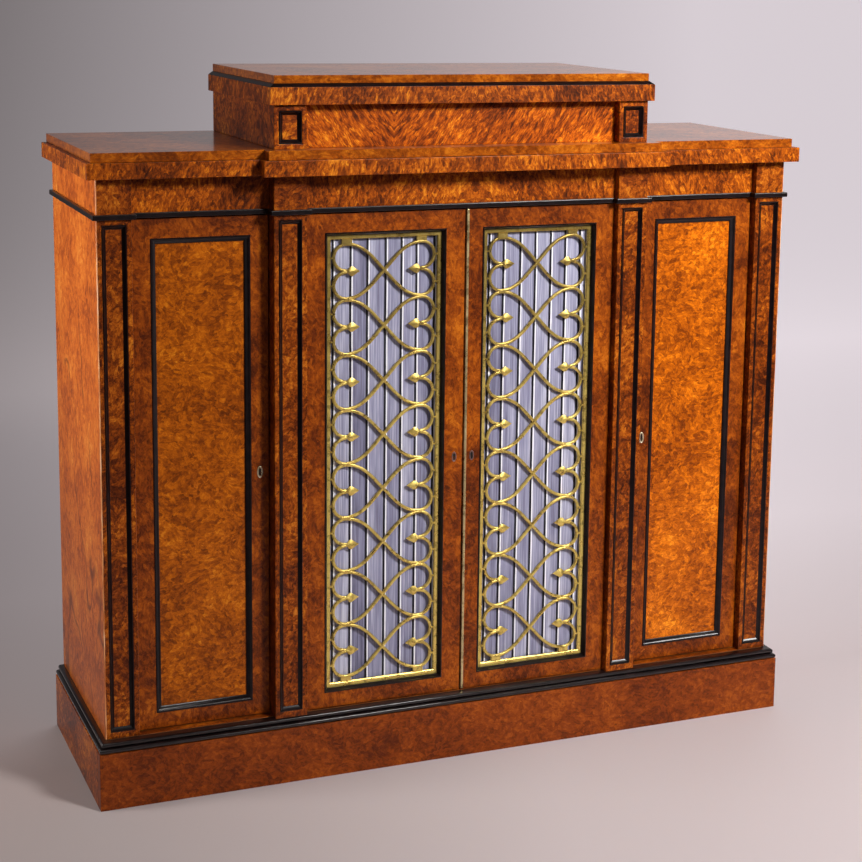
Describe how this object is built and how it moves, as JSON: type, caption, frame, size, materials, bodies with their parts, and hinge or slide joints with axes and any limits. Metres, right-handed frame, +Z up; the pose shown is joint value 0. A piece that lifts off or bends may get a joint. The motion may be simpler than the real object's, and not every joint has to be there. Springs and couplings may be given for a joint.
{
  "type": "breakfront side cabinet",
  "caption": "Breakfront side cabinet on a plinth, with panelled wing doors, brass-grilled silk-lined centre doors, pilasters and a low upper box.",
  "frame": {"origin": "centre of the footprint's bounding box, at floor level", "axes": "+X to the cabinet's right as seen from the front, +Y from the front to the back, +Z up"},
  "size_m": [1.372, 0.448, 1.28],
  "materials": {
    "burr_veneer": "French-polished burr wood veneer, orange-brown with small dark eyes and curls",
    "door_frame_veneer": "French-polished burr wood veneer, redder and darker",
    "burr_panel": "French-polished golden burr wood veneer",
    "side_veneer": "polished veneer with dark upright streaks",
    "polished_top": "glossy polished burr veneer",
    "carcass_timber": "plain unpolished timber",
    "ebonised_moulding": "ebonised and polished",
    "brass_grille": "aged brass, a little green near the top",
    "brass_fittings": "dull brass",
    "steel_lock": "filed steel",
    "pleated_silk": "lavender-grey silk in upright pleats"
  },
  "bodies": {
    "root": {"back_panel": "carcass_timber", "bottom_board": "carcass_timber", "centre_left_pilaster": "burr_veneer", "centre_lower_shelf": "carcass_timber", "centre_right_pilaster": "burr_veneer", "centre_upper_shelf": "carcass_timber", "cornice_band": "burr_veneer", "cornice_top": "polished_top", "frieze_bead": "ebonised_moulding", "frieze_rail": "burr_veneer", "left_partition": "carcass_timber", "left_side_panel": "side_veneer", "left_wing_shelf": "carcass_timber", "outer_left_pilaster": "burr_veneer", "outer_right_pilaster": "burr_veneer", "plinth_back_board": "carcass_timber", "plinth_front_board": "burr_veneer", "plinth_left_board": "side_veneer", "plinth_moulding": "ebonised_moulding", "plinth_right_board": "side_veneer", "right_partition": "carcass_timber", "right_side_panel": "side_veneer", "right_wing_shelf": "carcass_timber", "upper_back_board": "carcass_timber", "upper_band": "burr_veneer", "upper_bead": "ebonised_moulding", "upper_front_panel": "burr_panel", "upper_left_end": "burr_veneer", "upper_right_end": "burr_veneer", "upper_top": "polished_top"},
    "left_wing_door": {"left_wing_bottom_pivot": "brass_fittings", "left_wing_door_frame": "door_frame_veneer", "left_wing_door_moulding": "ebonised_moulding", "left_wing_door_panel": "burr_panel", "left_wing_lock_case": "steel_lock", "left_wing_top_pivot": "brass_fittings"},
    "left_centre_door": {"left_centre_bottom_pivot": "brass_fittings", "left_centre_door_frame": "door_frame_veneer", "left_centre_door_moulding": "ebonised_moulding", "left_centre_grille": "brass_grille", "left_centre_silk": "pleated_silk", "left_centre_top_pivot": "brass_fittings"},
    "right_centre_door": {"right_centre_bottom_pivot": "brass_fittings", "right_centre_door_frame": "door_frame_veneer", "right_centre_door_moulding": "ebonised_moulding", "right_centre_grille": "brass_grille", "right_centre_lock_case": "steel_lock", "right_centre_meeting_strip": "brass_grille", "right_centre_silk": "pleated_silk", "right_centre_top_pivot": "brass_fittings"},
    "right_wing_door": {"right_wing_bottom_pivot": "brass_fittings", "right_wing_door_frame": "door_frame_veneer", "right_wing_door_moulding": "ebonised_moulding", "right_wing_door_panel": "burr_panel", "right_wing_lock_case": "steel_lock", "right_wing_top_pivot": "brass_fittings"},
    "left_centre_flush_bolt": {"left_centre_flush_bolt": "brass_fittings"},
    "left_wing_lock_bolt": {"left_wing_lock_bolt": "brass_fittings"},
    "right_centre_lock_bolt": {"right_centre_lock_bolt": "brass_fittings"},
    "right_wing_lock_bolt": {"right_wing_lock_bolt": "brass_fittings"}
  },
  "joints": [
    {"name": "left_wing_hinge", "type": "hinge", "parent": "root", "child": "left_wing_door", "pos_m": [-0.5995, -0.152, 0.58], "axis": [0, 0, -1], "range_deg": [0, 90]},
    {"name": "left_centre_hinge", "type": "hinge", "parent": "root", "child": "left_centre_door", "pos_m": [-0.2955, -0.167, 0.58], "axis": [0, 0, -1], "range_deg": [0, 90]},
    {"name": "right_centre_hinge", "type": "hinge", "parent": "root", "child": "right_centre_door", "pos_m": [0.2955, -0.167, 0.58], "axis": [0, 0, 1], "range_deg": [0, 90]},
    {"name": "right_wing_hinge", "type": "hinge", "parent": "root", "child": "right_wing_door", "pos_m": [0.5995, -0.152, 0.58], "axis": [0, 0, 1], "range_deg": [0, 90]},
    {"name": "left_wing_lock_throw", "type": "slide", "parent": "left_wing_door", "child": "left_wing_lock_bolt", "axis": [1, 0, 0], "range_m": [0, 0.008]},
    {"name": "right_centre_lock_throw", "type": "slide", "parent": "right_centre_door", "child": "right_centre_lock_bolt", "axis": [-1, 0, 0], "range_m": [0, 0.008]},
    {"name": "right_wing_lock_throw", "type": "slide", "parent": "right_wing_door", "child": "right_wing_lock_bolt", "axis": [-1, 0, 0], "range_m": [0, 0.008]},
    {"name": "left_centre_flush_bolt_slide", "type": "slide", "parent": "left_centre_door", "child": "left_centre_flush_bolt", "axis": [0, 0, 1], "range_m": [0, 0.01]}
  ]
}
